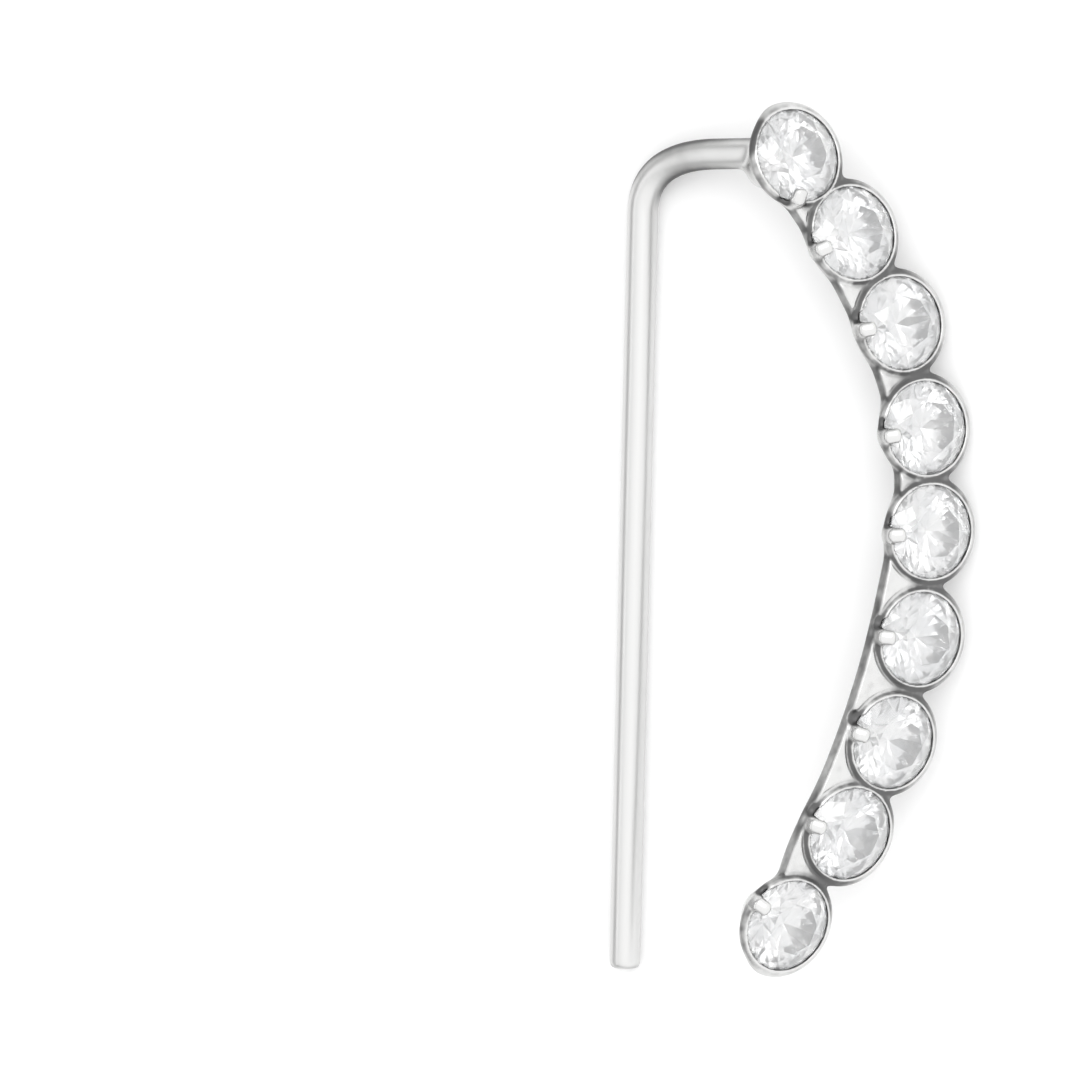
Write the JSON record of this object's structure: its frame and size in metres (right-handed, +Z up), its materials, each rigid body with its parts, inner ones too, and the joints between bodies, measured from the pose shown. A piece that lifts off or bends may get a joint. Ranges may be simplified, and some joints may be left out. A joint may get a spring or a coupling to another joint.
{
  "type": "ear climber",
  "caption": "Ear climber: a curved row of round stones in silver cups, with a bent ear wire running behind the row.",
  "frame": {"origin": "on the surface it lies on, under the middle of the climber's box", "axes": "+X from the ear wire to the outer side of the row, +Y along the ear wire to the top stone, +Z up"},
  "size_m": [0.0104, 0.0246, 0.005],
  "materials": {
    "silver": "polished silver, bright",
    "stone": "faceted and polished, colourless"
  },
  "bodies": {
    "root": {"silver_setting": "silver", "stone_1": "stone", "stone_2": "stone", "stone_3": "stone", "stone_4": "stone", "stone_5": "stone", "stone_6": "stone", "stone_7": "stone", "stone_8": "stone", "stone_9": "stone"}
  },
  "joints": []
}
